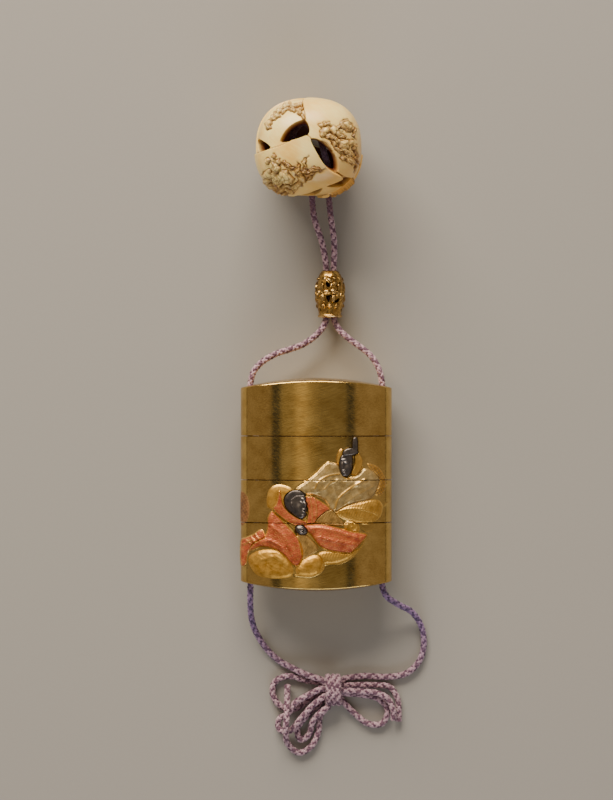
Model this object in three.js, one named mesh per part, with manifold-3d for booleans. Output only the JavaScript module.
// Three-case inro with its ojime bead, netsuke and cord, lying on its back.
//
// Units are millimetres. +Z is up, +Y runs from the inro towards the netsuke, and the
// origin is the middle of the small flat on the inro's back that it rests on.

import * as THREE from 'three';
import { mergeVertices } from 'three/addons/utils/BufferGeometryUtils.js';
import Module from 'manifold-3d';

const wasm = await Module();
wasm.setup();

// ---- Inro: outer form --------------------------------------------------------------
const HALF_WIDTH = 31;
const HALF_DEPTH = 13;
const HALF_HEIGHT = 43.7;
const FORM_POWER = 2.2; // 2 would be an ellipse, more is squarer
const DOME_SIDE_DROP = 4; // how far the ends fall from the crest to the sides
const DOME_FRONT_DROP = 1.3; // and to the front and back
const FORM_SEGMENTS = 34;
const REST_FLAT_DEPTH = 0.2; // ground off the back, so that it lies still
const INRO_Z = HALF_DEPTH - REST_FLAT_DEPTH;

// ---- Inro: lid and cases -------------------------------------------------------------
const SEAMS = [19.9, 2, -15.4]; // from the lid down
const SEAM_GAP = 0.3;
const CAVITY_HALF_WIDTH = 22.4;
const CAVITY_HALF_DEPTH = 9.4;
const CAVITY_POWER = 2.6;
const CAVITY_SEGMENTS = 20;
const END_WALL = 4.5; // from the crest of a domed end to the hollow behind it
const FLOOR = 2; // of an upper or middle case
const RISER_WALL = 1.2;
const RISER_HEIGHT = 4;
const SOCKET_CLEARANCE = 0.3;
const SOCKET_DEPTH = 4.5;
const CHANNEL_X = 27;
const CHANNEL_RADIUS = 1.8;
const CHANNEL_SIDES = 8;

// ---- Inlays ----------------------------------------------------------------------------
const INLAY_HEIGHT = 1.5; // above the gold ground
const INLAY_DEPTH = 0.6; // below it
const INLAY_GAP = 0.3;

// ---- Netsuke -----------------------------------------------------------------------------
const NETSUKE_AT = [-3.1, 137.4, 20.7];
const BALL_HALF_SIZE = [20.8, 19.5, 19.6];
const BALL_POWER = 2.4;
const BALL_SEGMENTS = 16;
const BALL_INNER_SEGMENTS = 10;
const BALL_WALL = 2.8;
const PANEL_STEP = 0.7; // how far each strip lies above the one it crosses
const CORD_HOLE_RADIUS = 2.4;
const CORD_HOLE_SIDES = 10;
const BALL_RING_SHARE = 0.56; // rings for each segment round the ball
const WEDGE_NEAR = 0.3; // a wedge's ends, as shares of the way out to the surface
const WEDGE_FAR = 3;
const FIGURE_HEIGHT = 1.6;

// ---- Ojime -------------------------------------------------------------------------------
const OJIME_AT = [5.7, 78.2, 6.2];
const OJIME_HALF_LENGTH = 9.7;
const OJIME_RADIUS = 6.5;
const OJIME_BORE = 3.25;
const OJIME_SEGMENTS = 12;
const BORE_SIDES = 12;
const PIERCING_SIDES = 4;
const CURL_THICKNESS = 0.5;

// ---- Cord ----------------------------------------------------------------------------------
const CORD_DIAMETER = 2.7;
const CORD_SIDES = 8;
const CORD_GAP = 0.3;
const MIDDLE = CORD_GAP / 2; // the strands' ends meet halfway down the channels
const CORD_ENTRIES = [-1.7, 5.2]; // where the two strands enter the netsuke
const CORD_ENTRY_Z = 12;
const BORE_OFFSET = 1.5; // each strand beside the axis of the ojime
const FLOOR_Z = 1.5; // height of a strand that lies on the ground
const SECOND_Z = 4.5; // and of one that lies on another
const THIRD_Z = 7.5;
const KNOT_LOW = [2.8, -91.8, 0];
const KNOT_HIGH = [11.4, -78.3, 9];
const KNOT_ROUNDING = 0.55; // 1 would be an ellipsoid, less is squarer

// ---- Materials -----------------------------------------------------------------------------
const goldLacquer = new THREE.MeshStandardMaterial({ color: '#a8792c', roughness: 0.35, metalness: 0.8 });
const darkMetal = new THREE.MeshStandardMaterial({ color: '#2b2a2c', roughness: 0.4, metalness: 0.9 });
const ivory = new THREE.MeshStandardMaterial({ color: '#ecdcb4', roughness: 0.35, metalness: 0 });
const bronze = new THREE.MeshStandardMaterial({ color: '#a8741f', roughness: 0.4, metalness: 1 });
const silk = new THREE.MeshStandardMaterial({ color: '#b795b5', roughness: 0.8, metalness: 0 });

// ---- From geometry to solid and back -------------------------------------------------------

/** Six times the signed volume, positive when the faces point out. */
function signedVolume(points, triangles) {
  const corners = [new THREE.Vector3(), new THREE.Vector3(), new THREE.Vector3()];
  let sum = 0;
  for (let i = 0; i < triangles.length; i += 3) {
    corners.forEach((corner, k) => corner.fromArray(points, 3 * triangles[i + k]));
    sum += corners[0].dot(corners[1].cross(corners[2]));
  }
  return sum;
}

/** A closed geometry as a solid, with its faces turned outwards. */
function solid(geometry) {
  const bare = new THREE.BufferGeometry();
  bare.setAttribute('position', geometry.attributes.position);
  bare.setIndex(geometry.index);
  const merged = mergeVertices(bare, 1e-4);
  const points = merged.attributes.position.array;
  const triangles = [];
  for (let i = 0; i < merged.index.count; i += 3) {
    const [a, b, c] = [0, 1, 2].map((k) => merged.index.getX(i + k));
    if (a !== b && b !== c && c !== a) {
      triangles.push(a, b, c);
    }
  }
  if (signedVolume(points, triangles) < 0) {
    triangles.reverse();
  }
  const mesh = new wasm.Mesh({
    numProp: 3,
    vertProperties: new Float32Array(points),
    triVerts: new Uint32Array(triangles),
  });
  return new wasm.Manifold(mesh);
}

/** A named mesh of a solid. */
function meshOf(name, body, material) {
  const { vertProperties, triVerts } = body.getMesh();
  const geometry = new THREE.BufferGeometry();
  geometry.setAttribute('position', new THREE.BufferAttribute(vertProperties, 3));
  geometry.setIndex(new THREE.BufferAttribute(triVerts, 1));
  geometry.computeVertexNormals();
  const mesh = new THREE.Mesh(geometry, material);
  mesh.name = name;
  return mesh;
}

/** All of a list of solids joined. */
function joined(bodies) {
  return bodies.reduce((sum, body) => sum.add(body));
}

/** A block between two corners. */
function block(low, high) {
  const size = high.map((value, axis) => value - low[axis]);
  const geometry = new THREE.BoxGeometry(...size);
  geometry.translate(...low.map((value, axis) => value + size[axis] / 2));
  return solid(geometry);
}

// ---- Outlines ----------------------------------------------------------------------------

/** The smooth closed curve through a few points, as flat points. */
function smooth(points, perPoint = 2, tension = 0.5) {
  const knots = points.map(([x, y]) => new THREE.Vector3(x, y, 0));
  const curve = new THREE.CatmullRomCurve3(knots, true, 'catmullrom', tension);
  const count = points.length * perPoint;
  const samples = Array.from({ length: count }, (_, i) => curve.getPoint(i / count));
  return samples.map(({ x, y }) => [x, y]);
}

/** A tapering fold from one end to the other, bowed to its left by bow. */
function fold(start, end, width, bow = 0) {
  const from = new THREE.Vector2(...start);
  const along = new THREE.Vector2(...end).sub(from);
  const left = new THREE.Vector2(-along.y, along.x).normalize();
  const at = (share, side) => {
    const middle = from.clone().addScaledVector(along, share);
    const bulge = Math.sin(Math.PI * share);
    return middle.addScaledVector(left, bulge * (bow + (side * width) / 2)).toArray();
  };
  const there = [0, 0.2, 0.5, 0.8];
  const back = [1, 0.8, 0.5, 0.2];
  return [...there.map((share) => at(share, 1)), ...back.map((share) => at(share, -1))];
}

/** The same outline, moved outwards by a margin all round. */
function widened(points, margin) {
  const shape = new THREE.Shape(points.map(([x, y]) => new THREE.Vector2(x, y)));
  const turn = THREE.ShapeUtils.isClockWise(shape.getPoints()) ? -1 : 1;
  const count = points.length;
  return points.map((point, i) => {
    const here = new THREE.Vector2(...point);
    const before = here.clone().sub(new THREE.Vector2(...points[(i + count - 1) % count])).normalize();
    const after = new THREE.Vector2(...points[(i + 1) % count]).sub(here).normalize();
    const along = before.add(after).normalize();
    return [here.x + along.y * margin * turn, here.y - along.x * margin * turn];
  });
}

/** The outline as a straight-sided solid from one height to another. */
function prism(points, low, high) {
  const shape = new THREE.Shape(points.map(([x, y]) => new THREE.Vector2(x, y)));
  const geometry = new THREE.ExtrudeGeometry(shape, { depth: high - low, bevelEnabled: false });
  geometry.translate(0, 0, low);
  return solid(geometry);
}

/** A point of the rounded section, at an angle and a share of the way out. */
function sectionPoint(halfWidth, halfDepth, power, angle, share = 1) {
  const bent = (value) => Math.sign(value) * Math.abs(value) ** (2 / power);
  return [share * halfWidth * bent(Math.sin(angle)), share * halfDepth * bent(Math.cos(angle))];
}

// ---- Inro --------------------------------------------------------------------------------

/** The domed outer form of the closed inro, grown all round by a margin. */
function inroForm(grow) {
  const shares = [0, 0.55, 1];
  const bottom = shares.map((share) => new THREE.Vector2(share, -1));
  const top = [...shares].reverse().map((share) => new THREE.Vector2(share, 1));
  const geometry = new THREE.LatheGeometry([...bottom, ...top], FORM_SEGMENTS);
  const position = geometry.attributes.position;
  for (let i = 0; i < position.count; i += 1) {
    const share = Math.hypot(position.getX(i), position.getZ(i));
    const angle = Math.atan2(position.getX(i), position.getZ(i));
    const [x, z] = sectionPoint(HALF_WIDTH + grow, HALF_DEPTH + grow, FORM_POWER, angle, share);
    const drop = DOME_SIDE_DROP * (x / HALF_WIDTH) ** 2 + DOME_FRONT_DROP * (z / HALF_DEPTH) ** 2;
    position.setXYZ(i, x, position.getY(i) * (HALF_HEIGHT - drop), z);
  }
  return solid(geometry);
}

/** A straight block of the compartment's section, between two heights. */
function compartment(margin, low, high) {
  const points = Array.from({ length: CAVITY_SEGMENTS }, (_, i) => {
    const angle = (2 * Math.PI * i) / CAVITY_SEGMENTS;
    return sectionPoint(CAVITY_HALF_WIDTH + margin, CAVITY_HALF_DEPTH + margin, CAVITY_POWER, angle);
  });
  return prism(points, low, high).rotate([-90, 0, 0]);
}

/** Raised or sunk ornament on the front, from below the ground to a height above it. */
function onFront(points, height) {
  return prism(points, 0, HALF_DEPTH + height + 1).intersect(inroForm(height));
}

// The lacquer relief, from the back layer to the front, as height and outline.
const RELIEF = [
  // gold hems and lobes of cloud at the foot of the group
  [0.5, smooth([[-27.8, -31], [-24, -27], [-15, -27], [-10, -31], [-11.5, -35.5], [-18, -37.5], [-25, -36]])],
  [0.6, smooth([[-7.7, -31], [-4, -27.5], [1, -28], [2.6, -32], [-1, -36.3], [-6, -35.5]])],
  [0.5, smooth([[0.4, -26], [6, -22.5], [14, -22], [18.6, -25], [15, -29.5], [7, -31.3], [1.5, -30]])],
  // open fan behind the lower figure
  [0.5, smooth([[-20, -4.5], [-17, -0.8], [-12, -0.3], [-9.5, -3], [-11, -8], [-17, -9.3]])],
  // gold sash that leaves the robe on the right, and the patterned sleeve above it
  [0.6, smooth([
    [7.3, -10.9], [16.7, -7], [22.1, -5.8], [26.8, -7.4], [26.5, -13.1], [21.1, -15.6], [12.4, -14.3],
  ])],
  [0.5, smooth([[19.9, 8.5], [25.5, 6.5], [28, 1.5], [26.8, -4], [24, -3.4], [24.6, 2], [22, 6]])],
  // upper figure: robe, collar
  [0.8, smooth([
    [-8.4, -1.8], [-2, 3.6], [4.8, 9.2], [8.6, 9.5], [12.4, 3], [18, 7.7], [21.1, 6.4], [25.5, 3.3],
    [23.3, -3], [22.1, -5.8], [16.7, -7.4], [7.3, -10.2], [4.8, -8.7], [-2.7, -4.3],
  ])],
  [1.2, smooth([[8.6, 7.3], [8.3, 11], [10.2, 14.4], [10.6, 10], [12.6, 5], [13.4, 3.6], [10.6, 4.4]], 2)],
  [1.2, smooth([[14.2, 3.8], [15.6, 8], [15.3, 12.4], [17.6, 13.2], [18.6, 9], [17.4, 5.4]], 2)],
  // lower figure: inner cloth, ruffled hem, sleeves, collar and lapel
  [0.5, smooth([[-7.7, -21], [-4, -19.8], [0.4, -23], [-1, -28], [-5.5, -29.4], [-7, -26]])],
  [0.9, smooth([
    [-30.2, -22], [-26, -18.4], [-21, -19.5], [-20.6, -25], [-23, -30], [-26, -32.4], [-29.9, -31.5],
  ])],
  [1.2, smooth([
    [-20, -12.4], [-17.8, -10.5], [-12, -16.5], [-9, -20], [-6.6, -24], [-5.5, -28], [-7.7, -32.5],
    [-11.5, -30.6], [-15.9, -26.4], [-22, -25.6], [-27.2, -26.2], [-24, -19],
  ])],
  [1.2, smooth([
    [-4.6, -16.5], [-0.2, -15.6], [5, -17.4], [11.1, -17.6], [20.2, -20], [18, -25], [13.6, -27.5],
    [8, -26], [2.3, -25.9], [-0.8, -22.5],
  ])],
  [1.2, [
    [-16.9, -1.6], [-13.8, -2.2], [-13.6, -8], [-10.9, -11.4], [-4.4, -14.8], [-9.6, -17], [-19.7, -11.8],
  ]],
  [1.2, [[-3.3, -4.6], [5.5, -9.6], [-0.2, -15], [-3.6, -15.2], [-2.6, -10]]],
];

// Ridges of drapery on those layers, as height, ends, width and bow.
const FOLDS = [
  [1.3, [-5, -2.6], [7.6, 5.6], 1.6, -0.8],
  [1.3, [6.5, -9], [17.4, 2.4], 1.8, 0.9],
  [1.2, [12, -7.6], [22.6, 0.5], 1.5, 0.8],
  [1.1, [-1, -3.4], [10.4, 1.6], 1.4, -0.7],
  [1.7, [-19, -13.5], [-9.4, -28.6], 1.6, -1.6],
  [1.7, [-23, -20], [-13.4, -26.6], 1.6, -0.8],
  [1.7, [-1.6, -17.6], [13.8, -25.6], 1.6, 1.2],
  [1.7, [3, -18.2], [18, -20.6], 1.4, 0.4],
  [1.4, [-28.6, -23.6], [-22, -28.4], 1.5, 0.6],
  [1.1, [10, -12.2], [24.6, -12.4], 1.4, -0.9],
  [1, [-25.4, -33.6], [-12.6, -32.4], 1.6, 1.4],
];

// The dark metal heads and hand, as name and outline.
const INLAYS = [
  ['inlay_head_upper', smooth([
    [11.4, 4], [9.8, 6.4], [9.5, 9.6], [10.8, 12.2], [11.6, 14.6], [14.8, 15], [15, 19],
    [16.6, 19], [16.8, 13.4], [14.8, 12], [14.4, 8], [13.4, 5],
  ], 2, 0.3)],
  ['inlay_head_lower', smooth([
    [-12.8, -5], [-10, -2.4], [-6.4, -2.4], [-4.4, -4.8], [-3.8, -7.4], [-3.9, -10.4], [-5, -13],
    [-7.4, -13.2], [-10, -10.8], [-12.6, -8.4],
  ], 2)],
  ['inlay_hand', smooth([
    [-8.4, -18], [-6.8, -16.4], [-4.6, -16.8], [-3.9, -18.6], [-5.6, -19.9], [-7.8, -19.6],
  ], 2)],
];

/** An inlay's own solid, grown sideways and down by a gap to make its pocket. */
function inlaySolid(points, gap) {
  const top = gap > 0 ? INLAY_HEIGHT + 2 : INLAY_HEIGHT;
  const below = inroForm(-INLAY_DEPTH - gap);
  return onFront(widened(points, gap), top).subtract(below);
}

/** The closed inro, solid, with its relief and the inlays' pockets. */
function dressedForm() {
  const layers = RELIEF.map(([height, points]) => onFront(points, height));
  const ridges = FOLDS.map(([height, ...shape]) => onFront(fold(...shape), height));
  const pockets = INLAYS.map(([, points]) => inlaySolid(points, INLAY_GAP));
  const restBlock = block([-HALF_WIDTH, -HALF_HEIGHT, -INRO_Z - 5], [HALF_WIDTH, HALF_HEIGHT, -INRO_Z]);
  return joined([inroForm(0), ...layers, ...ridges]).subtract(joined(pockets)).subtract(restBlock);
}

/** Both cord channels, right through the inro. */
function cordChannels() {
  const length = 2 * HALF_HEIGHT + 2;
  const channels = [-CHANNEL_X, CHANNEL_X].map((x) => {
    const geometry = new THREE.CylinderGeometry(CHANNEL_RADIUS, CHANNEL_RADIUS, length, CHANNEL_SIDES);
    geometry.translate(x, 0, 0);
    return solid(geometry);
  });
  return joined(channels);
}

/** The lid and the three cases, from the top down. */
function inroPieces() {
  const form = dressedForm();
  const channels = cordChannels();
  const reach = HALF_HEIGHT + 1;
  const hollowEnd = HALF_HEIGHT - END_WALL;
  const edges = [reach, ...SEAMS, -reach];
  return ['lid', 'case_1', 'case_2', 'case_3'].map((name, index) => {
    const isLid = index === 0;
    const isLast = index === SEAMS.length;
    const high = edges[index] - (isLid ? 0 : SEAM_GAP / 2);
    const low = edges[index + 1] + (isLast ? 0 : SEAM_GAP / 2);
    const slab = block([-HALF_WIDTH - 5, low, -HALF_DEPTH - 5], [HALF_WIDTH + 5, high, HALF_DEPTH + 5]);
    let body = form.intersect(slab);
    if (!isLid) {
      body = body.add(compartment(RISER_WALL, high - FLOOR, high + RISER_HEIGHT));
    }
    if (!isLast) {
      body = body.subtract(compartment(RISER_WALL + SOCKET_CLEARANCE, low - 1, low + SOCKET_DEPTH));
    }
    const floor = isLast ? -hollowEnd : low + SOCKET_DEPTH + (isLid ? -1 : FLOOR);
    const roof = isLid ? hollowEnd : high + RISER_HEIGHT + 1;
    body = body.subtract(compartment(0, floor, roof)).subtract(channels);
    return meshOf(name, body, goldLacquer);
  });
}

/** The dark metal heads and hand, each let into its case. */
function inlayPieces() {
  return INLAYS.map(([name, points]) => meshOf(name, inlaySolid(points, 0), darkMetal));
}

// ---- Netsuke -------------------------------------------------------------------------------

/** The point where a direction meets the ball's rounded-cube surface, plus an offset. */
function onBall(direction, offset = 0) {
  const unit = direction.clone().normalize();
  const sum = unit.toArray().reduce((total, value, axis) => {
    return total + Math.abs(value / BALL_HALF_SIZE[axis]) ** BALL_POWER;
  }, 0);
  return unit.multiplyScalar(sum ** (-1 / BALL_POWER) + offset);
}

/** A solid ball, its surface moved out by an offset. */
function ball(offset, segments) {
  const geometry = new THREE.SphereGeometry(1, segments, Math.round(segments * BALL_RING_SHARE));
  const position = geometry.attributes.position;
  for (let i = 0; i < position.count; i += 1) {
    const point = onBall(new THREE.Vector3().fromBufferAttribute(position, i), offset);
    position.setXYZ(i, ...point.toArray());
  }
  return solid(geometry);
}

/** The front surface point above a place in the flat front view. */
function frontPoint([x, y]) {
  const share = (value, axis) => Math.abs(value / BALL_HALF_SIZE[axis]) ** BALL_POWER;
  const left = Math.max(1 - share(x, 0) - share(y, 1), 0.004); // never quite at the rim
  return new THREE.Vector3(x, y, BALL_HALF_SIZE[2] * left ** (1 / BALL_POWER));
}

/** A wedge that spreads from near the ball's centre through an outline on its front. */
function wedge(points) {
  const loop = points.map(frontPoint);
  const count = loop.length;
  const scaled = (share) => loop.map((point) => point.clone().multiplyScalar(share));
  const vertices = [...scaled(WEDGE_NEAR), ...scaled(WEDGE_FAR)];
  const flat = points.map(([x, y]) => new THREE.Vector2(x, y));
  const caps = THREE.ShapeUtils.triangulateShape(flat, []);
  const turned = THREE.ShapeUtils.isClockWise(flat);
  const index = [];
  caps.forEach(([a, b, c]) => index.push(a, c, b, a + count, b + count, c + count));
  for (let i = 0; i < count; i += 1) {
    const next = (i + 1) % count;
    const [a, b] = turned ? [next, i] : [i, next];
    index.push(a, b, b + count, a, b + count, a + count);
  }
  const geometry = new THREE.BufferGeometry();
  const coordinates = new Float32Array(vertices.flatMap((p) => p.toArray()));
  geometry.setAttribute('position', new THREE.BufferAttribute(coordinates, 3));
  geometry.setIndex(index);
  return solid(geometry);
}

// Strips of the woven ball on its front, as how many steps they lie above the ground.
const PANELS = [
  [1, smooth([
    [-1.8, 20], [-1.4, 14], [0.4, 4.4], [5.9, 2.3], [9.1, -2.3], [10.7, -8.9], [18, -11.4], [21.3, -6],
    [21.4, 8], [16, 16.6], [7, 19.8],
  ], 1)],
  [2, smooth([
    [-21.7, -2.6], [-11, 1.6], [-0.7, 5.5], [4.3, -3], [8.2, -7.9], [13.3, -11.3], [5.1, -15.7],
    [-5.6, -19.4], [-15, -16], [-20.4, -9],
  ], 1)],
];

// Openings between the strips: where three strips meet, and slits beside the arcs.
const BALL_OPENINGS = [
  smooth([[-10.8, 2.8], [-9, 7.2], [-5, 10.6], [-1.2, 12.2], [-0.2, 6]], 2),
  smooth([[0.9, 3.8], [4.8, 2.6], [8.9, -1.7], [10.8, -5.6], [10.6, -8.8], [7, -6.8], [3.8, -2.4]], 1),
  smooth([[-20.6, 3.8], [-18.5, 3.5], [-15.4, 0.8], [-20, -1]], 1),
  smooth([[13.3, -11.6], [17.4, -12.2], [15.6, -14.6], [11.7, -15.8], [6.8, -15.4]], 1),
  smooth([[5.2, -16], [-0.6, -17.8], [-5.4, -19], [0.2, -19.1], [4.4, -18.6]], 1),
];

// Carved figures, coarse: each lump as front place, half sizes and turn in degrees.
const FIGURES = [
  // seated figure with a fan on the left strip
  [[-8.6, -4.2], [2.2, 2.5], 0],
  [[-8.4, -10.4], [5.2, 4.2], 0],
  [[-13.6, -13], [3.6, 2.4], 20],
  [[-3, -13.4], [3.8, 2.2], -15],
  [[1.8, -7.4], [3, 4.8], -25],
  // figure with a round disc on the right strip
  [[8.4, 8.6], [2.1, 2.4], 0],
  [[12.4, 5.4], [4.6, 3.2], -35],
  [[9.6, 2.4], [3.2, 3.2], 0],
  [[15, -3], [3, 4.4], -20],
  // reclining figure on the upper strip
  [[-6, 15.6], [2.1, 2], 0],
  [[-10.6, 13.4], [4.4, 2.4], 30],
  [[-15, 10.8], [3, 2.2], 40],
];

/** One lump of a carved figure, half sunk in the surface of the ball. */
function figureLump([place, [halfLength, halfWidth], turn]) {
  const base = onBall(frontPoint(place), PANEL_STEP);
  const geometry = new THREE.SphereGeometry(1, 6, 4);
  geometry.scale(halfLength, halfWidth, FIGURE_HEIGHT);
  geometry.rotateZ(THREE.MathUtils.degToRad(turn));
  const up = new THREE.Vector3(0, 0, 1);
  geometry.applyQuaternion(new THREE.Quaternion().setFromUnitVectors(up, base.clone().normalize()));
  geometry.translate(...base.toArray());
  return solid(geometry);
}

/** The two cord holes, side by side in the lower back of the ball. */
function cordHoles() {
  const depth = BALL_HALF_SIZE[1] + 5;
  const holes = CORD_ENTRIES.map((x) => {
    const geometry = new THREE.CylinderGeometry(CORD_HOLE_RADIUS, CORD_HOLE_RADIUS, depth, CORD_HOLE_SIDES);
    geometry.translate(x - NETSUKE_AT[0], -depth / 2 - 6, CORD_ENTRY_Z - NETSUKE_AT[2]);
    return solid(geometry);
  });
  return joined(holes);
}

/** The netsuke: front and back carry the same weave, turned half round. */
function netsuke() {
  const panels = PANELS.map(([steps, points]) => {
    return wedge(points).intersect(ball(steps * PANEL_STEP, BALL_SEGMENTS));
  });
  const slits = joined(BALL_OPENINGS.map(wedge));
  const front = joined(panels).add(joined(FIGURES.map(figureLump)));
  const back = joined(panels).rotate([0, 180, 0]);
  const shell = joined([ball(0, BALL_SEGMENTS), front, back]).subtract(ball(-BALL_WALL, BALL_INNER_SEGMENTS));
  const pierced = shell.subtract(slits).subtract(slits.rotate([0, 180, 0])).subtract(cordHoles());
  const size = 2 * BALL_HALF_SIZE[0];
  const restBlock = block([-size, -size, -size], [size, size, -NETSUKE_AT[2]]);
  const mesh = meshOf('netsuke', pierced.subtract(restBlock), ivory);
  mesh.position.set(...NETSUKE_AT);
  return mesh;
}

// ---- Ojime ---------------------------------------------------------------------------------

// Outer profile from the flared foot to the narrow top, as share of radius and length.
const OJIME_PROFILE = [
  [0.68, -1], [0.85, -0.94], [0.82, -0.8], [0.95, -0.5], [1, 0], [0.95, 0.45], [0.8, 0.8], [0.58, 1],
];

// Piercings, as rows of height share, hole radius, count, first angle in degrees, and
// whether a curl of relief rings each hole.
const OJIME_HOLES = [
  [-0.5, 1.2, 5, 10, false],
  [0.02, 1.5, 5, 46, true],
  [0.52, 1.1, 4, 12, false],
];

/** The pierced bead, with a curl of relief round each middle hole. */
function ojime() {
  const wall = OJIME_PROFILE.map(([r, y]) => new THREE.Vector2(r * OJIME_RADIUS, y * OJIME_HALF_LENGTH));
  const onAxis = [-1, 1].map((end) => new THREE.Vector2(0, end * OJIME_HALF_LENGTH));
  const profile = [onAxis[0], ...wall, onAxis[1]];
  let bead = solid(new THREE.LatheGeometry(profile, OJIME_SEGMENTS));
  const boreCore = new THREE.CylinderGeometry(OJIME_BORE, OJIME_BORE, 3 * OJIME_HALF_LENGTH, BORE_SIDES);
  OJIME_HOLES.forEach(([height, radius, count, first, curled]) => {
    for (let i = 0; i < count; i += 1) {
      const angle = THREE.MathUtils.degToRad(first) + (2 * Math.PI * i) / count;
      const carved = curled ? bead.add(curl(height, radius, angle)) : bead;
      bead = carved.subtract(piercing(height, radius, angle));
    }
  });
  const restBlock = block([-20, -20, -20], [20, 20, -OJIME_AT[2]]);
  const mesh = meshOf('ojime', bead.subtract(solid(boreCore)).subtract(restBlock), bronze);
  mesh.position.set(...OJIME_AT);
  return mesh;
}

/** A hole from the outside into the bore. */
function piercing(height, radius, angle) {
  const geometry = new THREE.CylinderGeometry(radius, radius * 0.8, OJIME_RADIUS + 1, PIERCING_SIDES);
  geometry.rotateX(Math.PI / 2);
  geometry.translate(0, height * OJIME_HALF_LENGTH, OJIME_RADIUS / 2 + 1);
  geometry.rotateY(angle);
  return solid(geometry);
}

/** A small raised ring round a hole. */
function curl(height, radius, angle) {
  const out = OJIME_RADIUS * (0.99 - 0.22 * height ** 2);
  const geometry = new THREE.TorusGeometry(radius + 0.3, CURL_THICKNESS, 3, 6);
  geometry.rotateX(-0.5 * height);
  geometry.translate(0, height * OJIME_HALF_LENGTH, out);
  geometry.rotateY(angle);
  return solid(geometry);
}

// ---- Cord ----------------------------------------------------------------------------------

const [BEAD_X, BEAD_Y, BEAD_Z] = OJIME_AT;

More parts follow.
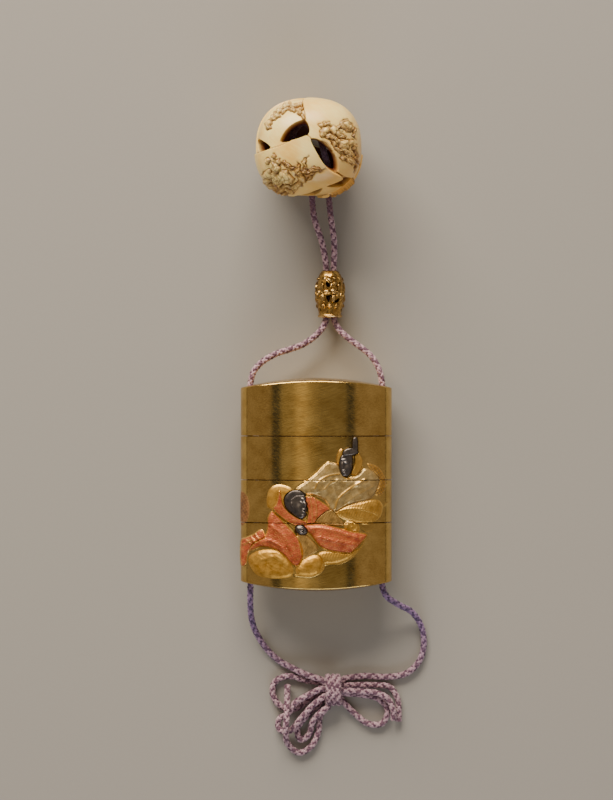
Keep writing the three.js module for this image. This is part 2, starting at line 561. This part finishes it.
// Each run of cord, as name, steps, and the route of its centre.
const CORD_RUNS = [
  ['cord_upper', 40, [
    [-CHANNEL_X, MIDDLE, INRO_Z], [-CHANNEL_X, 20, INRO_Z], [-CHANNEL_X, 41.1, INRO_Z],
    [-25.5, 46.6, 12.6], [-22.2, 50.2, 12], [-16.9, 53.4, 11], [-10.7, 55.5, 10], [-5.4, 57.5, 9],
    [-0.6, 60.8, 8], [2.8, 64.6, 7], [BEAD_X - BORE_OFFSET, 68.4, BEAD_Z],
    [BEAD_X - BORE_OFFSET, BEAD_Y, BEAD_Z], [BEAD_X - BORE_OFFSET, 88.6, BEAD_Z],
    [2.5, 99, 8], [-0.9, 109.8, 10.6], [-1.7, 117.6, CORD_ENTRY_Z], [-1.9, 125.4, 12.6],
    [-5, 130.6, 15.4], [-8.6, 136, 19.6], [-9.4, 142.4, 24], [-5.6, 147, 27.4], [-0.2, 144.6, 28.4],
    [2, 139, 27], [3.4, 134.4, 22.6], [4.8, 130, 16.6], [5.2, 125.4, 12.8],
    [5.2, 117.6, CORD_ENTRY_Z], [6, 109.8, 10.6], [7.4, 99, 8],
    [BEAD_X + BORE_OFFSET, 88.6, BEAD_Z], [BEAD_X + BORE_OFFSET, BEAD_Y, BEAD_Z],
    [BEAD_X + BORE_OFFSET, 68.4, BEAD_Z], [8.8, 64.6, 7], [11.4, 61.6, 8], [15.1, 58.6, 9],
    [18.4, 56.2, 10], [21.4, 53.8, 11], [24, 50.6, 12], [26, 46.4, 12.6],
    [CHANNEL_X, 41.1, INRO_Z], [CHANNEL_X, 20, INRO_Z], [CHANNEL_X, MIDDLE, INRO_Z],
  ]],
  ['cord_lower_left', 12, [
    [-CHANNEL_X, -MIDDLE, INRO_Z], [-CHANNEL_X, -20, INRO_Z], [-CHANNEL_X, -41.1, INRO_Z],
    [-27.1, -48, 11.4], [-26.8, -54.4, 8], [-25.2, -60.6, 4.4], [-20.7, -68.1, 2],
    [-15.4, -73.2, FLOOR_Z], [-8.5, -76.9, 2.6], [-3.6, -79, SECOND_Z], [2.1, -80.8, SECOND_Z],
  ]],
  ['cord_lower_right', 14, [
    [CHANNEL_X, -MIDDLE, INRO_Z], [CHANNEL_X, -20, INRO_Z], [CHANNEL_X, -41.1, INRO_Z],
    [28.6, -45.6, 12.2], [33.6, -49.4, 9], [39.6, -53, 5], [43.4, -58.8, 2.4], [44.6, -65.9, FLOOR_Z],
    [42.8, -73.2, FLOOR_Z], [37.4, -78.5, FLOOR_Z], [29, -80, FLOOR_Z], [20, -79.6, FLOOR_Z],
    [11.7, -80.6, FLOOR_Z],
  ]],
  ['bow_loop_left', 7, [
    [2.1, -82.2, FLOOR_Z], [-4.4, -81.4, FLOOR_Z], [-11.2, -79.6, FLOOR_Z], [-16.8, -81.8, FLOOR_Z],
    [-18, -87, FLOOR_Z], [-14.4, -92.3, FLOOR_Z], [-8.6, -93.2, FLOOR_Z], [-3.4, -89.4, FLOOR_Z],
    [2.1, -86, FLOOR_Z],
  ]],
  ['bow_loop_lower_left', 8, [
    [2.1, -84.4, SECOND_Z], [-3.6, -87.4, SECOND_Z], [-8.6, -90.4, SECOND_Z], [-11.8, -95, 4.2],
    [-15.4, -97.6, 2.4], [-15.3, -101.6, 2.2], [-11, -102, 4], [-6, -96.6, SECOND_Z],
    [-1.6, -91.6, SECOND_Z], [2.1, -88.6, SECOND_Z],
  ]],
  ['bow_tail_left', 9, [
    [4.6, -92.3, FLOOR_Z], [1.6, -96.4, FLOOR_Z], [0.9, -102.6, FLOOR_Z], [-1.9, -108.6, FLOOR_Z],
    [-7, -111.4, FLOOR_Z], [-11.6, -107.8, 2.6], [-12.6, -102.2, 7], [-12.2, -96, THIRD_Z],
    [-12, -90, 5.4], [-11.9, -83.4, 2.2],
  ]],
  ['bow_loop_inner', 6, [
    [2.1, -90.4, FLOOR_Z], [-3, -95.2, FLOOR_Z], [-7.8, -101.4, FLOOR_Z], [-6.4, -106, FLOOR_Z],
    [-2.8, -103.6, FLOOR_Z], [-1.6, -98.6, 3.2], [1.8, -94.4, SECOND_Z], [4.8, -92.3, SECOND_Z],
  ]],
  ['bow_loop_right', 8, [
    [11.7, -86.8, FLOOR_Z], [18, -87.2, FLOOR_Z], [25.6, -89, FLOOR_Z], [29.6, -93.6, FLOOR_Z],
    [27.4, -99.2, FLOOR_Z], [21.6, -99.4, FLOOR_Z], [16.2, -95.4, FLOOR_Z], [11.7, -90.8, FLOOR_Z],
  ]],
  ['bow_tail_right', 6, [
    [11.7, -83.4, FLOOR_Z], [17, -83.4, FLOOR_Z], [25, -83.4, FLOOR_Z], [30.4, -84.2, FLOOR_Z],
    [33.6, -89, FLOOR_Z], [34.2, -98.3, FLOOR_Z],
  ]],
  ['bow_tail_inner_right', 6, [
    [11.7, -85.4, SECOND_Z], [18, -85.8, 4.4], [24.6, -86.3, 4.4], [29.4, -88.6, 4.5],
    [31.7, -93, 4.4], [31.9, -97.6, 3.4],
  ]],
];

/** One run of round cord. */
function cordRun([name, steps, route]) {
  const radius = CORD_DIAMETER / 2;
  const section = new THREE.Shape();
  for (let i = 0; i < CORD_SIDES; i += 1) {
    const angle = (2 * Math.PI * (i + 0.5)) / CORD_SIDES;
    const draw = i === 0 ? 'moveTo' : 'lineTo';
    section[draw](radius * Math.cos(angle), radius * Math.sin(angle));
  }
  section.closePath();
  const path = new THREE.CatmullRomCurve3(route.map((point) => new THREE.Vector3(...point)));
  const geometry = new THREE.ExtrudeGeometry(section, { steps, extrudePath: path, bevelEnabled: false });
  return meshOf(name, solid(geometry), silk);
}

/** The outer shape of the knot's wraps, as one rounded lump. */
function bowKnot() {
  const size = KNOT_HIGH.map((value, axis) => value - KNOT_LOW[axis]);
  const geometry = new THREE.SphereGeometry(0.5, 10, 6);
  const position = geometry.attributes.position;
  for (let i = 0; i < position.count; i += 1) {
    const point = new THREE.Vector3().fromBufferAttribute(position, i);
    const rounded = point.toArray().map((value) => {
      return (Math.sign(value) * Math.abs(2 * value) ** KNOT_ROUNDING) / 2;
    });
    position.setXYZ(i, ...rounded);
  }
  geometry.scale(...size);
  geometry.translate(...KNOT_LOW.map((value, axis) => value + size[axis] / 2));
  return meshOf('bow_knot', solid(geometry), silk);
}

// ---- The whole object ----------------------------------------------------------------------

const inro = new THREE.Group();
inro.add(...inroPieces(), ...inlayPieces());
inro.position.z = INRO_Z;

const object = new THREE.Group();
object.add(inro, netsuke(), ojime(), ...CORD_RUNS.map(cordRun), bowKnot());

export default object;
